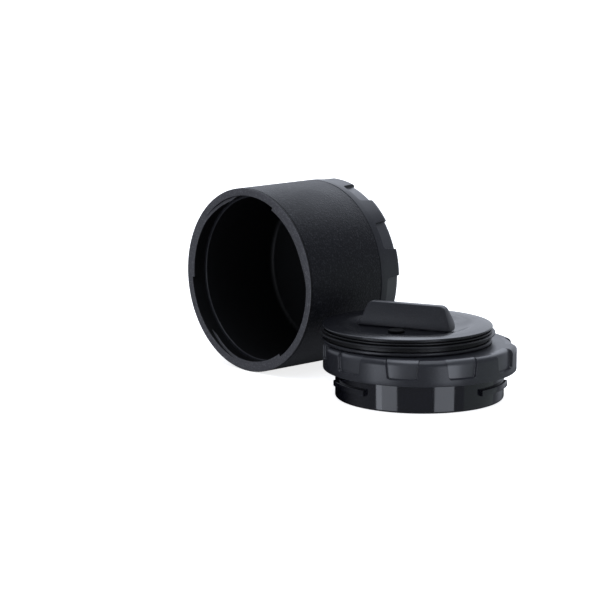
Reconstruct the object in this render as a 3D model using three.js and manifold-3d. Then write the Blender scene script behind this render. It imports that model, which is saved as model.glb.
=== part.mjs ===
// Storage canister, taken apart: the double-walled body lies on its side, the bayonet lid stands beside it
// on its skirt, and the plunger with its folding handle rests on the lid.
// Millimetres, +Z up, origin on the floor at the middle of the set. The body's mouth faces -Y.
import * as THREE from 'three';
import { mergeVertices } from 'three/addons/utils/BufferGeometryUtils.js';
import Module from 'manifold-3d';

const wasm = await Module();
wasm.setup();

// Shared sizes
const bodyDiameter = 96.4; // sleeve, rim, base ring and lid ring are flush
const seat = 0.3; // clearance between pieces that seat on each other
const edgeRound = 0.4;

// Grip panels sunk in the lid ring and in the base ring, in equal steps round each
const gripCount = 10;
const gripDepth = 1.75;
const gripWidth = 16; // at the free edge
const gripTaper = 1; // how far each side closes in towards the joint side
const gripCorner = 1.2; // round of a panel's closed corners
const gripRound = 5; // round of a panel's floor over the ring's free edge
const lidGripLand = 3.4; // plain band between a panel and the ring's joint side
const baseGripLand = 4.6;
const ringRound = 3; // round of a ring's free edge

// Body
const bodyLength = 65.4;
const baseRingHeight = 14.7;
const spigotLength = 5; // part of the base ring that goes up inside the sleeve
const sleeveWall = 1.4;
const wallDepth = 5.2; // outside of the sleeve to the bore
const linerWall = 1.5;
const linerFloor = 1.8;
const linerFlange = 1.5;
const collarWall = 2.2;
const collarDepth = 8.6; // mouth face to the ledge
const rimThickness = 1;
const rimRound = 0.5;
const baseInset = 3; // base plate behind the foot of the ring
const basePlateThickness = 2.2;
const basePanelStep = 0.6;
const basePanelMargin = 8; // rim of the base plate round its sunk panel
const footWidth = 6.9; // ring of the base that the body stands on
const shoulderThickness = 1.5;
const shoulderWidth = 2.8; // ledge of the base ring that the base plate is drawn against

// Bayonet
const lipOverhang = 0.2; // lips of the mouth past the bore
const lipHeight = 3.6;
const lipSpan = 82; // degrees
const lipFall = 3; // how far a lip's far end slopes down from the rim
const lipSlope = 37; // degrees of a lip that slope down
const lipTurn = 55.4; // degrees, middle of the first lip
const lipCount = 3;
const lugPlay = 0.4; // lug to the collar's wall
const lugHeight = 3.1;
const lugLift = 6.6; // lug above the skirt's lower edge
const lugSpan = 37.5; // degrees
const lugTurn = -46.7; // degrees from the middle of the first grip panel

// Lid
const lidRingHeight = 12.6;
const skirtPlay = 0.75; // skirt to the lips of the mouth
const skirtHeight = 14.4;
const skirtWall = 2;
const skirtRound = 0.8;
const capThickness = 2.4;
const plugPlateLift = 17;
const plugPlateThickness = 2;
const gasketInset = 2.5; // gasket from the outside of the lid ring
const gasketWidth = 2.2;
const gasketHeight = 2;
const gasketProud = 0.3;

// Plunger
const plungerHeight = 8.8;
const plateGap = 0.4; // plate to the bore
const plateEdge = 1.3; // thickness of the rim of the plate
const plateThickness = 1.6;
const plateRound = 1;
const dishDepth = 2.3;
const dishMargin = 13; // rim round the dish, with its slope
const dishSlope = 7; // width of the slope from the rim down to the dish
const plungerBaseGap = 0.6; // plunger base to the bore
const plungerBaseEdge = 1.7;
const plungerBaseThickness = 1.6;
const sealSqueeze = 0.9; // free lip past the bore
const sealLipLift = 2.2; // above the foot of the seal
const sealLipThickness = 0.8;
const sealRibGap = 0.5; // upper rib to the bore
const sealRibLift = 3.7;
const sealRibThickness = 0.7;
const sealFlare = 0.3; // height of the slopes of lip and rib
const sealRootGap = 2;
const sealWidth = 6; // edge of the plate to the seal's inside
const clampWall = 1.9; // wall of the plunger base that the seal sits round
const clampHeight = 2.9;
const snapWall = 1.4; // ring under the plate that snaps into the clamp wall
const snapLength = 2.9;

// Handle and its hinge
const handleBaseLength = 50.4;
const handleTopLength = 41.6;
const handleBaseFront = 4.7; // hinge axis to the foot of the front face
const handleTopThickness = 4.3;
const handleHeight = 12.3; // above the dish
const handleCorner = 2.2;
const handleEdge = 0.8;
const handleFoot = 0.4; // clearance under the handle
const hingeHeight = 4.6; // axis above the dish
const hingeLugRound = 2.4;
const hingeLugWidth = 4;
const hingeLugSpacing = 18;
const pinDiameter = 2.4;
const pinLength = 34.5;
const pinReach = 14; // pin past the hinge's middle on its closed end

// One-way valve
const valveDiameter = 8.3;
const valveThickness = 1;
const valveFront = 14.1; // in front of the hinge axis
const valveTravel = 0.8;
const valveStemDiameter = 2.4;
const valveBarbDiameter = 3.8;
const valveBarbHeight = 1.3;
const ventDiameter = 1.6;
const ventCircle = 5.2;
const ventCount = 4;
const inletDiameter = 3;
const inletCircle = 12;
const inletCount = 5;

// Screws of the base and of the lid
const screwCount = 3;
const baseScrewInset = 13; // from the edge of the base plate
const lidScrewInset = 14.05; // from the outside of the skirt
const screwDiameter = 2.7;
const screwHeadDiameter = 5.4;
const screwHeadHeight = 1.5;
const screwSocket = 2.5; // across the corners of the hexagon socket
const screwSocketDepth = 0.9;
const bossWall = 1.75;
const baseScrewBite = 2.1; // thread length in the liner's boss
const lidScrewBite = 3.7;
const boreSpare = 0.4; // bore past a screw's tip

// How the set stands
const lidAside = 5.2; // between the widest lines of body and lid, seen from above
const mouthAhead = 24.1; // mouth face in front of the lid's centre
const bodyRoll = -62;
const lidTurn = 33.7;
const plungerAside = 6.9; // plunger's centre from the lid's, towards the body
const plungerAhead = 2; // plunger's centre in front of the lid's
const plungerTurn = 22.1;

// How finely rounds are cut into facets
const ringSegments = 40;
const smallSegments = 12;
const holeSegments = 8;
const lipSegments = 12;
const lugSegments = 6;
const hexagon = 6;
const arcStep = 0.75; // a round gets one facet for each of these, up to arcMost
const arcMost = 4;
const cutOver = 1; // how far a cutter runs past what it cuts

const radians = THREE.MathUtils.degToRad;

// Closed outline through corners [x, y, round]: a round turns that corner into an arc.
function outline(corners) {
  const points = [];
  corners.forEach(([x, y, round = 0], index) => {
    const corner = new THREE.Vector2(x, y);
    if (round === 0) {
      points.push(corner);
      return;
    }
    const before = corners.at(index - 1);
    const after = corners[(index + 1) % corners.length];
    const back = new THREE.Vector2(before[0], before[1]).sub(corner).normalize();
    const ahead = new THREE.Vector2(after[0], after[1]).sub(corner).normalize();
    const half = Math.acos(back.dot(ahead)) / 2;
    const centre = back.clone().add(ahead).setLength(round / Math.sin(half)).add(corner);
    const first = back.clone().setLength(round / Math.tan(half)).add(corner).sub(centre);
    const sweep = (Math.PI - 2 * half) * Math.sign(back.cross(ahead)) * -1;
    const steps = Math.min(arcMost, Math.ceil(round / arcStep));
    for (let step = 0; step <= steps; step += 1) {
      const spoke = first.clone().rotateAround(new THREE.Vector2(), (sweep * step) / steps);
      points.push(spoke.add(centre));
    }
  });
  return points;
}

// Solid of revolution about Z from corners [radius, height, round], counter-clockwise.
function turned(corners, segments = ringSegments) {
  const profile = outline(corners);
  const lathe = new THREE.LatheGeometry([...profile, profile[0]], segments);
  return lathe.rotateX(Math.PI / 2);
}

// Prism of an outline in X and Z, between two places along Y.
function slab(corners, near, far) {
  const shape = new THREE.Shape(outline(corners));
  const prism = new THREE.ExtrudeGeometry(shape, { depth: far - near, bevelEnabled: false });
  return prism.rotateX(Math.PI / 2).translate(0, far, 0);
}

// Prism of an outline in Y and Z, between two places along X.
function rail(corners, near, far) {
  const shape = new THREE.Shape(outline(corners));
  const prism = new THREE.ExtrudeGeometry(shape, { depth: far - near, bevelEnabled: false });
  return prism.rotateX(Math.PI / 2).rotateZ(Math.PI / 2).translate(near, 0, 0);
}

// Upright round rod between two heights.
function rod(diameter, low, high, segments = smallSegments) {
  const cylinder = new THREE.CylinderGeometry(diameter / 2, diameter / 2, high - low, segments);
  return cylinder.rotateX(Math.PI / 2).translate(0, 0, (low + high) / 2);
}

// Block bent round Z. Angles run from -Y towards +X; high(share) is its top along the way.
function arcBlock({ inner, outer, from, to, low, high, steps }) {
  const positions = [];
  for (let step = 0; step <= steps; step += 1) {
    const share = step / steps;
    const angle = radians(from + (to - from) * share);
    const corners = [[inner, low], [outer, low], [outer, high(share)], [inner, high(share)]];
    corners.forEach(([r, z]) => positions.push(r * Math.sin(angle), -r * Math.cos(angle), z));
  }
  const index = [0, 1, 2, 0, 2, 3];
  for (let step = 0; step < steps; step += 1) {
    for (let side = 0; side < 4; side += 1) {
      const a = step * 4 + side;
      const b = step * 4 + ((side + 1) % 4);
      index.push(a, a + 4, b, b, a + 4, b + 4);
    }
  }
  const last = steps * 4;
  index.push(last, last + 2, last + 1, last, last + 3, last + 2);
  const block = new THREE.BufferGeometry();
  block.setAttribute('position', new THREE.Float32BufferAttribute(positions, 3));
  return block.setIndex(index);
}

// Copies of a geometry, turned in equal steps about Z.
function around(geometry, count, start = 0) {
  const turns = Array.from({ length: count }, (_, step) => start + (360 / count) * step);
  return turns.map((turn) => geometry.clone().rotateZ(radians(turn)));
}

// Closed solid of a geometry, for joining and cutting.
function solid(geometry) {
  const bare = new THREE.BufferGeometry();
  bare.setAttribute('position', geometry.getAttribute('position'));
  bare.setIndex(geometry.getIndex());
  const merged = mergeVertices(bare);
  const corners = merged.getIndex().array;
  const triangles = [];
  for (let i = 0; i < corners.length; i += 3) {
    const [a, b, c] = corners.slice(i, i + 3);
    if (a !== b && b !== c && c !== a) triangles.push(a, b, c);
  }
  return new wasm.Manifold(new wasm.Mesh({
    numProp: 3,
    vertProperties: merged.getAttribute('position').array,
    triVerts: Uint32Array.from(triangles),
  }));
}

function joined(base, additions) {
  return additions.reduce((whole, addition) => whole.add(solid(addition)), base);
}

function cut(base, cutters) {
  return cutters.reduce((whole, cutter) => whole.subtract(solid(cutter)), base);
}

function piece(name, body, material) {
  const { vertProperties, triVerts } = body.getMesh();
  const geometry = new THREE.BufferGeometry();
  geometry.setAttribute('position', new THREE.BufferAttribute(vertProperties, 3));
  geometry.setIndex(new THREE.BufferAttribute(triVerts, 1));
  geometry.computeVertexNormals();
  const mesh = new THREE.Mesh(geometry, material.clone());
  mesh.name = name;
  return mesh;
}

// Finishes
const coatedMetal = new THREE.MeshStandardMaterial({ color: 0x1d1e20, roughness: 0.62, metalness: 0.2 });
const satinPlastic = new THREE.MeshStandardMaterial({ color: 0x202124, roughness: 0.48, metalness: 0 });
const glossPlastic = new THREE.MeshStandardMaterial({ color: 0x1b1b1f, roughness: 0.2, metalness: 0 });
const linerPlastic = new THREE.MeshStandardMaterial({ color: 0x141416, roughness: 0.5, metalness: 0 });
const sealRubber = new THREE.MeshStandardMaterial({ color: 0x1a1a1c, roughness: 0.7, metalness: 0 });
const steel = new THREE.MeshStandardMaterial({ color: 0x8d9096, roughness: 0.35, metalness: 1 });

// Radii and heights that follow from the sizes above
const bodyRadius = bodyDiameter / 2;
const sleeveInner = bodyRadius - sleeveWall;
const collarOuter = sleeveInner - seat;
const collarInner = collarOuter - collarWall;
const boreRadius = bodyRadius - wallDepth;
const lipRadius = boreRadius - lipOverhang;
const linerOuter = boreRadius + linerWall;
const ringInner = linerOuter + seat;
const ledgeHeight = bodyLength - collarDepth;
const basePlateTop = baseInset + basePlateThickness;
const linerBottom = basePlateTop + seat + shoulderThickness + seat;
const basePlateRadius = bodyRadius - footWidth - seat;
const baseScrewRadius = basePlateRadius - baseScrewInset;
const skirtRadius = lipRadius - skirtPlay;
const lidHeight = skirtHeight + lidRingHeight;
const capUnderside = lidHeight - capThickness;
const lidScrewRadius = skirtRadius - lidScrewInset;
const screwBore = screwDiameter + 2 * seat;
const bossDiameter = screwBore + 2 * bossWall;
const dishFloor = plungerHeight - dishDepth;
const plateRadius = boreRadius - plateGap;
const sealInner = plateRadius - sealWidth;
const sealLip = boreRadius + sealSqueeze;
const lidCentre = (bodyDiameter + lidAside) / 2;

// Cutters of the grip panels of a ring, from their closed end up to the ring's free end.
function gripCutter(closedEnd, top) {
  const floor = bodyRadius - gripDepth;
  const outside = bodyRadius + cutOver;
  const band = solid(turned([
    [floor, closedEnd - cutOver],
    [outside, closedEnd - cutOver],
    [outside, top + cutOver],
    [floor - gripRound, top + cutOver],
    [floor - gripRound, top],
    [floor, top, gripRound],
  ]));
  const half = gripWidth / 2;
  const window = slab([
    [gripTaper - half, closedEnd, gripCorner],
    [half - gripTaper, closedEnd, gripCorner],
    [half, top],
    [half, top + 2 * cutOver],
    [-half, top + 2 * cutOver],
    [-half, top],
  ], -outside - cutOver, gripRound - floor);
  const [first, ...others] = around(window, gripCount);
  return joined(solid(first), others).intersect(band);
}

// Screw with its head down, from the underside of its head seat.
function screw(headSeat, bite) {
  const headTop = headSeat - seat;
  const headFace = headTop - screwHeadHeight;
  const shank = turned([
    [0, headFace],
    [screwHeadDiameter / 2, headFace, screwHeadHeight / 2],
    [screwHeadDiameter / 2, headTop],
    [screwDiameter / 2, headTop],
    [screwDiameter / 2, bite],
    [0, bite],
  ], smallSegments);
  const socket = rod(screwSocket, headFace - cutOver, headFace + screwSocketDepth, hexagon);
  return cut(solid(shank), [socket]);
}

function screwRing(prefix, circleRadius, headSeat, bite) {
  return Array.from({ length: screwCount }, (_, step) => {
    const mesh = piece(`${prefix}_${step + 1}`, screw(headSeat, bite), steel);
    const angle = (step * 2 * Math.PI) / screwCount;
    mesh.position.set(circleRadius * Math.cos(angle), circleRadius * Math.sin(angle), 0);
    return mesh;
  });
}

// Rods on the circle of the screws, for bosses, bores and holes
function onScrewCircle(circleRadius, diameter, low, high) {
  return around(rod(diameter, low, high).translate(circleRadius, 0, 0), screwCount);
}

// Body, standing on its base
function outerSleeve() {
  const foot = baseRingHeight + seat;
  const top = bodyLength - rimThickness - seat;
  return solid(turned([
    [sleeveInner, foot],
    [bodyRadius, foot, edgeRound],
    [bodyRadius, top, edgeRound],
    [sleeveInner, top],
  ]));
}

function bayonetCollar() {
  const ring = solid(turned([
    [collarInner, ledgeHeight],
    [collarOuter, ledgeHeight],
    [collarOuter, bodyLength - rimThickness],
    [bodyRadius, bodyLength - rimThickness],
    [bodyRadius, bodyLength, rimRound],
    [collarInner, bodyLength],
  ]));
  const lip = arcBlock({
    inner: lipRadius,
    outer: (collarInner + collarOuter) / 2,
    from: lipTurn - lipSpan / 2,
    to: lipTurn + lipSpan / 2,
    low: bodyLength - lipHeight,
    high: (share) => bodyLength - lipFall * Math.max(0, 1 - (share * lipSpan) / lipSlope),
    steps: lipSegments,
  });
  return joined(ring, around(lip, lipCount));
}

function innerLiner() {
  const flangeTop = ledgeHeight - seat;
  const cup = solid(turned([
    [0, linerBottom],
    [linerOuter, linerBottom, linerFloor],
    [linerOuter, flangeTop - linerFlange],
    [collarOuter, flangeTop - linerFlange],
    [collarOuter, flangeTop],
    [boreRadius, flangeTop, edgeRound],
    [boreRadius, linerBottom + linerFloor, linerWall],
    [0, linerBottom + linerFloor],
  ]));
  const bossFoot = basePlateTop + seat;
  const boreTop = bossFoot + baseScrewBite + boreSpare;
  const bosses = onScrewCircle(baseScrewRadius, bossDiameter, bossFoot, linerBottom + linerFloor / 2);
  const bores = onScrewCircle(baseScrewRadius, screwBore, bossFoot - cutOver, boreTop);
  return cut(joined(cup, bosses), bores);
}

function baseRing() {
  const plateSeat = baseRingHeight - basePlateTop - seat;
  const opening = bodyRadius - footWidth;
  const ring = solid(turned([
    [ringInner, -spigotLength],
    [collarOuter, -spigotLength],
    [collarOuter, 0],
    [bodyRadius, 0, edgeRound],
    [bodyRadius, baseRingHeight, ringRound],
    [opening, baseRingHeight, edgeRound],
    [opening, plateSeat],
    [opening - shoulderWidth, plateSeat],
    [opening - shoulderWidth, plateSeat - shoulderThickness],
    [ringInner, plateSeat - shoulderThickness],
  ]));
  return ring.subtract(gripCutter(baseGripLand, baseRingHeight));
}

function basePlate() {
  const plate = solid(turned([
    [0, baseInset + basePanelStep],
    [basePlateRadius - basePanelMargin, baseInset + basePanelStep],
    [basePlateRadius - basePanelMargin + basePanelStep, baseInset],
    [basePlateRadius, baseInset, edgeRound],
    [basePlateRadius, basePlateTop],
    [0, basePlateTop],
  ]));
  const holes = onScrewCircle(baseScrewRadius, screwBore, baseInset - cutOver, basePlateTop + cutOver);
  return cut(plate, holes);
}

function makeBody() {
  const body = new THREE.Group();
  const ring = piece('base_ring', baseRing(), satinPlastic);
  ring.rotation.x = Math.PI;
  ring.position.z = baseRingHeight;
  const screwTip = basePlateTop + seat + baseScrewBite;
  body.add(
    piece('outer_sleeve', outerSleeve(), coatedMetal),
    piece('bayonet_collar', bayonetCollar(), satinPlastic),
    piece('inner_liner', innerLiner(), linerPlastic),
    ring,
    piece('base_plate', basePlate(), satinPlastic),
    ...screwRing('base_screw', baseScrewRadius, baseInset + basePanelStep, screwTip),
  );
  body.rotation.z = radians(bodyRoll);
  const lying = new THREE.Group();
  lying.add(body);
  lying.rotation.x = Math.PI / 2;
  lying.position.set(-lidCentre, bodyLength - mouthAhead, bodyRadius);
  return lying;
}

// Lid, standing on its skirt
function lidCap() {
  const grooveOuter = bodyRadius - gasketInset + seat;
  const grooveInner = grooveOuter - gasketWidth - 2 * seat;
  const grooveTop = skirtHeight - gasketProud + gasketHeight + seat;
  const bore = skirtRadius + seat;
  const cap = solid(turned([
    [0, capUnderside],
    [bore, capUnderside],
    [bore, skirtHeight],
    [grooveInner, skirtHeight],
    [grooveInner, grooveTop],
    [grooveOuter, grooveTop],
    [grooveOuter, skirtHeight],
    [bodyRadius, skirtHeight, edgeRound],
    [bodyRadius, lidHeight, ringRound],
    [0, lidHeight],
  ]));
  const bossFoot = plugPlateLift + plugPlateThickness + seat;
  const boreTop = bossFoot + lidScrewBite + boreSpare;
  const bosses = onScrewCircle(lidScrewRadius, bossDiameter, bossFoot, capUnderside + capThickness / 2);
  const bores = onScrewCircle(lidScrewRadius, screwBore, bossFoot - cutOver, boreTop);
  const grips = gripCutter(skirtHeight + lidGripLand, lidHeight);
  return cut(joined(cap, bosses), bores).subtract(grips);
}

function lidPlug() {
  const skirtInner = skirtRadius - skirtWall;
  const plateTop = plugPlateLift + plugPlateThickness;
  const plug = solid(turned([
    [0, plugPlateLift],
    [skirtInner, plugPlateLift, skirtWall],
    [skirtInner, 0],
    [skirtRadius, 0, skirtRound],
    [skirtRadius, capUnderside - seat],
    [skirtInner, capUnderside - seat],
    [skirtInner, plateTop],
    [0, plateTop],
  ]));
  const lug = arcBlock({
    inner: skirtRadius - skirtWall / 2,
    outer: collarInner - lugPlay,
    from: lugTurn - lugSpan / 2,
    to: lugTurn + lugSpan / 2,
    low: lugLift,
    high: () => lugLift + lugHeight,
    steps: lugSegments,
  });
  const holes = onScrewCircle(lidScrewRadius, screwBore, plugPlateLift - cutOver, plateTop + cutOver);
  return cut(joined(plug, around(lug, lipCount)), holes);
}

function lidGasket() {
  const inner = bodyRadius - gasketInset - gasketWidth;
  const foot = skirtHeight - gasketProud;
  return solid(turned([
    [inner, foot],
    [inner + gasketWidth, foot, edgeRound],
    [inner + gasketWidth, foot + gasketHeight],
    [inner, foot + gasketHeight],
  ]));
}

function makeLid() {
  const lid = new THREE.Group();
  const screwTip = plugPlateLift + plugPlateThickness + seat + lidScrewBite;
  lid.add(
    piece('lid_cap', lidCap(), satinPlastic),
    piece('lid_plug', lidPlug(), glossPlastic),
    piece('lid_gasket', lidGasket(), sealRubber),
    ...screwRing('lid_screw', lidScrewRadius, plugPlateLift, screwTip),
  );
  lid.rotation.z = radians(lidTurn);
  lid.position.x = lidCentre;
  return lid;
}

// Plunger, with the handle along X and the valve in front of it at -Y
function plungerPlate() {
  const under = dishFloor - plateThickness;
  const snapOuter = sealInner - 2 * seat - clampWall;
  const step = sealInner - seat;
  const dish = plateRadius - dishMargin;
  const plate = solid(turned([
    [0, under],
    [snapOuter - snapWall, under],
    [snapOuter - snapWall, under - snapLength],
    [snapOuter, under - snapLength],
    [snapOuter, under],
    [step, under],
    [step, plungerHeight - plateEdge],
    [plateRadius, plungerHeight - plateEdge],
    [plateRadius, plungerHeight, plateRound],
    [dish + dishSlope, plungerHeight],
    [dish, dishFloor],
    [0, dishFloor],
  ]));
  const lugs = hingeLugPlaces().map((x) => rail([
    [-hingeLugRound, dishFloor - plateThickness / 2],
    [hingeLugRound, dishFloor - plateThickness / 2],
    [hingeLugRound, dishFloor + hingeHeight + hingeLugRound, hingeLugRound],
    [-hingeLugRound, dishFloor + hingeHeight + hingeLugRound, hingeLugRound],
  ], x - hingeLugWidth / 2, x + hingeLugWidth / 2));
  const low = under - cutOver;
  const high = dishFloor + cutOver;
  const stemHole = rod(valveStemDiameter + 2 * seat, low, high);
  const vent = rod(ventDiameter, low, high, holeSegments).translate(ventCircle / 2, 0, 0);
  const holes = [stemHole, ...around(vent, ventCount)].map((hole) => hole.translate(0, -valveFront, 0));
  return cut(joined(plate, lugs), [...holes, hingeBore()]);
}

function hingeLugPlaces() {
  return [-hingeLugSpacing / 2, hingeLugSpacing / 2];
}

// Bore of the hinge, open at the handle's -X end
function hingeBore() {
  const length = handleBaseLength / 2 + cutOver + pinReach + seat;
  const bore = rod(pinDiameter + 2 * seat, 0, length).rotateY(-Math.PI / 2);
  return bore.translate(pinReach + seat, 0, dishFloor + hingeHeight);
}

function hingePin() {
  const pin = rod(pinDiameter, 0, pinLength).rotateY(-Math.PI / 2);
  return solid(pin.translate(pinReach, 0, dishFloor + hingeHeight));
}

function wiperSeal() {
  const foot = plungerBaseEdge + seat;
  const top = plungerHeight - plateEdge - seat;
  const root = boreRadius - sealRootGap;
  const rib = boreRadius - sealRibGap;
  const ribFoot = foot + sealRibLift;
  const lipFoot = foot + sealLipLift;
  return solid(turned([
    [sealInner, foot],
    [root, foot],
    [root, lipFoot - sealFlare],
    [sealLip, lipFoot],
    [sealLip, lipFoot + sealLipThickness],
    [root, lipFoot + sealLipThickness + sealFlare],
    [root, ribFoot - sealFlare],
    [rib, ribFoot],
    [rib, ribFoot + sealRibThickness],
    [root, ribFoot + sealRibThickness + sealFlare],
    [root, top],
    [sealInner, top],
  ]));
}

function plungerBase() {
  const clampOuter = sealInner - seat;
  const edge = boreRadius - plungerBaseGap;
  const clampInner = clampOuter - clampWall;
  const clampTop = plungerBaseEdge + clampHeight;
  const plate = solid(turned([
    [0, 0],
    [edge, 0, edgeRound],
    [edge, plungerBaseEdge, edgeRound],
    [clampOuter, plungerBaseEdge],
    [clampOuter, clampTop],
    [clampInner, clampTop],
    [clampInner, plungerBaseThickness],
    [0, plungerBaseThickness],
  ]));
  const inlet = rod(inletDiameter, -cutOver, plungerBaseThickness + cutOver, holeSegments);
  const inlets = around(inlet.translate(inletCircle / 2, 0, 0), inletCount);
  return cut(plate, inlets.map((hole) => hole.translate(0, -valveFront, 0)));
}

function handle() {
  const foot = dishFloor + handleFoot;
  const top = dishFloor + handleHeight;
  const axis = dishFloor + hingeHeight;
  const barrel = hingeHeight - handleFoot;
  const topHalf = handleTopThickness / 2;
  const rise = top - axis;
  // lean of the back face, which runs from the top edge on to the round about the hinge axis
  const lean = Math.asin(barrel / Math.hypot(topHalf, rise)) - Math.atan2(topHalf, rise);
  const backFoot = topHalf + (top - foot) * Math.tan(lean);
  const face = slab([
    [-handleBaseLength / 2, foot, handleEdge],
    [handleBaseLength / 2, foot, handleEdge],
    [handleTopLength / 2, top, handleCorner],
    [-handleTopLength / 2, top, handleCorner],
  ], -backFoot - cutOver, backFoot + cutOver);
  const section = rail([
    [-handleBaseFront, foot],
    [backFoot, foot, barrel],
    [topHalf, top, handleEdge],
    [-topHalf, top, handleEdge],
  ], -handleBaseLength, handleBaseLength);
  const room = hingeLugRound + seat;
  const pockets = hingeLugPlaces().map((x) => rail([
    [-room, foot - cutOver],
    [backFoot + cutOver, foot - cutOver],
    [backFoot + cutOver, axis + room],
    [-room, axis + room, room],
  ], x - hingeLugWidth / 2 - seat, x + hingeLugWidth / 2 + seat));
  return cut(solid(face).intersect(solid(section)), [...pockets, hingeBore()]);
}

function valveUmbrella() {
  const seatHeight = dishFloor + seat;
  const barbTop = dishFloor - plateThickness - seat - valveTravel;
  const stem = valveStemDiameter / 2;
  const barb = valveBarbDiameter / 2;
  const rim = valveDiameter / 2;
  const valve = turned([
    [0, barbTop - valveBarbHeight],
    [stem, barbTop - valveBarbHeight],
    [barb, barbTop - valveBarbHeight / 2],
    [barb, barbTop],
    [stem, barbTop],
    [stem, seatHeight],
    [rim, seatHeight],
    [rim, seatHeight + valveThickness, valveThickness / 2],
    [0, seatHeight + valveThickness],
  ], 2 * smallSegments);
  return solid(valve.translate(0, -valveFront, 0));
}

function makePlunger() {
  const plunger = new THREE.Group();
  plunger.add(
    piece('plunger_plate', plungerPlate(), satinPlastic),
    piece('wiper_seal', wiperSeal(), sealRubber),
    piece('plunger_base', plungerBase(), satinPlastic),
    piece('handle', handle(), satinPlastic),
    piece('hinge_pin', hingePin(), steel),
    piece('valve_umbrella', valveUmbrella(), sealRubber),
  );
  plunger.rotation.z = radians(plungerTurn);
  plunger.position.set(lidCentre - plungerAside, -plungerAhead, lidHeight + seat);
  return plunger;
}

const canister = new THREE.Group();
canister.add(makeBody(), makeLid(), makePlunger());

export default canister;
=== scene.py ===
# Storage canister taken apart: the body lies on its side, the bayonet lid stands on its skirt
# and the plunger with its folding handle rests on the lid. Metres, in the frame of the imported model.
import math

import bmesh
import bpy
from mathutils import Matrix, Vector


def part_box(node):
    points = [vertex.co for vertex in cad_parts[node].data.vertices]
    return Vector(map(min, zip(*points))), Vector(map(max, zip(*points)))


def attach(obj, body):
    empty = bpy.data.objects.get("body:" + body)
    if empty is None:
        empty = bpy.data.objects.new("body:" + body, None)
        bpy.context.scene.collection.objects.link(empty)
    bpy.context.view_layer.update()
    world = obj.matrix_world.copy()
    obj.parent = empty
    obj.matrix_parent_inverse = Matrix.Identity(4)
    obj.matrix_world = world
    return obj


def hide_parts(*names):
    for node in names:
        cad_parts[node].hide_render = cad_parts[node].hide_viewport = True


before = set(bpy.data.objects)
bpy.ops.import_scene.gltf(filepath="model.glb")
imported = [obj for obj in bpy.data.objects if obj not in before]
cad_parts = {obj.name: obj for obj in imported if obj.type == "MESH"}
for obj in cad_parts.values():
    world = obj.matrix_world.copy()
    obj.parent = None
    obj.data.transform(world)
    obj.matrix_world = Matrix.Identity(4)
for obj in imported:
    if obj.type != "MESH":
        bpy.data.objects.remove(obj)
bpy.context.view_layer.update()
print("frame loaded:", len(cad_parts), "nodes")

# sizes that several pieces share
shared = {
    "bodyRadius": 0.0482,
    "bodyLength": 0.0654,
    "sleeveWall": 0.0014,
    "boreRadius": 0.043,
    "bayonetCount": 3,  # lips in the mouth and lugs on the lid
    "seat": 0.0003,  # clearance between pieces that seat on each other
    "cutOver": 0.001,  # how far a cutting piece runs past what it cuts
    "tiny": 1e-6,  # places closer than this count as one
    "ringSteps": 240,  # faces round a large turned piece
    "smallSteps": 48,  # faces round a screw or the hinge pin
    "rodSteps": 32,  # faces round a hole or a boss
    "smoothAngle": 32,  # degrees; steeper edges stay sharp
}
sleeveInner = shared["bodyRadius"] - shared["sleeveWall"]
collarOuter = sleeveInner - shared["seat"]


# tools that stand for the usual moves in the viewport

def deselectAll():
    if bpy.context.object and bpy.context.object.mode != "OBJECT":
        bpy.ops.object.mode_set(mode="OBJECT")
    bpy.ops.object.select_all(action="DESELECT")


def pick(piece):
    deselectAll()
    piece.select_set(True)
    bpy.context.view_layer.objects.active = piece


def rename(piece, name):
    piece.name = name
    piece.data.name = name
    return piece


def roundedPath(corners):
    # corners (r, z) or (r, z, round, steps): a round becomes an arc that touches both sides
    path = []
    for index, corner in enumerate(corners):
        x, z = corner[:2]
        if len(corner) == 2:
            path.append((x, z))
            continue
        radius, steps = corner[2:]
        before = corners[index - 1]
        after = corners[(index + 1) % len(corners)]
        back = math.atan2(before[1] - z, before[0] - x)
        ahead = math.atan2(after[1] - z, after[0] - x)
        half = math.remainder(ahead - back, math.tau) / 2
        middle = back + half
        reach = radius / math.sin(abs(half))
        centreX = x + reach * math.cos(middle)
        centreZ = z + reach * math.sin(middle)
        sweep = math.copysign(math.pi - 2 * abs(half), -half)
        start = middle + math.pi - sweep / 2
        for step in range(steps + 1):
            angle = start + sweep * step / steps
            path.append((centreX + radius * math.cos(angle), centreZ + radius * math.sin(angle)))
    return path


def drawProfile(name, path, closed=True):
    # one vertex, pulled along the path by extrusion in the XZ plane; leaves edit mode on
    deselectAll()
    bpy.ops.mesh.primitive_plane_add()
    piece = rename(bpy.context.object, name)
    bpy.ops.object.mode_set(mode="EDIT")
    bpy.ops.mesh.merge(type="CENTER")
    bpy.ops.transform.translate(value=(path[0][0], 0, path[0][1]))
    for (x, z), (nextX, nextZ) in zip(path, path[1:]):
        bpy.ops.mesh.extrude_region_move(TRANSFORM_OT_translate={"value": (nextX - x, 0, nextZ - z)})
    if closed:
        mesh = bmesh.from_edit_mesh(piece.data)
        mesh.verts.ensure_lookup_table()
        mesh.verts[0].select = True
        bpy.ops.mesh.edge_face_add()
    bpy.ops.mesh.select_all(action="SELECT")
    return piece


def closeUp(piece):
    # merge doubles, turn faces outwards and leave edit mode
    bpy.ops.mesh.select_all(action="SELECT")
    bpy.ops.mesh.remove_doubles(threshold=shared["tiny"])
    bpy.ops.mesh.normals_make_consistent(inside=False)
    bpy.ops.object.mode_set(mode="OBJECT")
    return piece


def spinRound(sectors):
    # sectors are (degrees, faces); each one goes on from where the last one ended
    for degrees, steps in sectors:
        bpy.ops.mesh.spin(steps=steps, angle=-math.radians(degrees), center=(0, 0, 0), axis=(0, 0, 1))


def turnPiece(name, corners, steps=None, closed=True):
    piece = drawProfile(name, roundedPath(corners), closed)
    spinRound([(360, steps or shared["ringSteps"])])
    return closeUp(piece)


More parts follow.
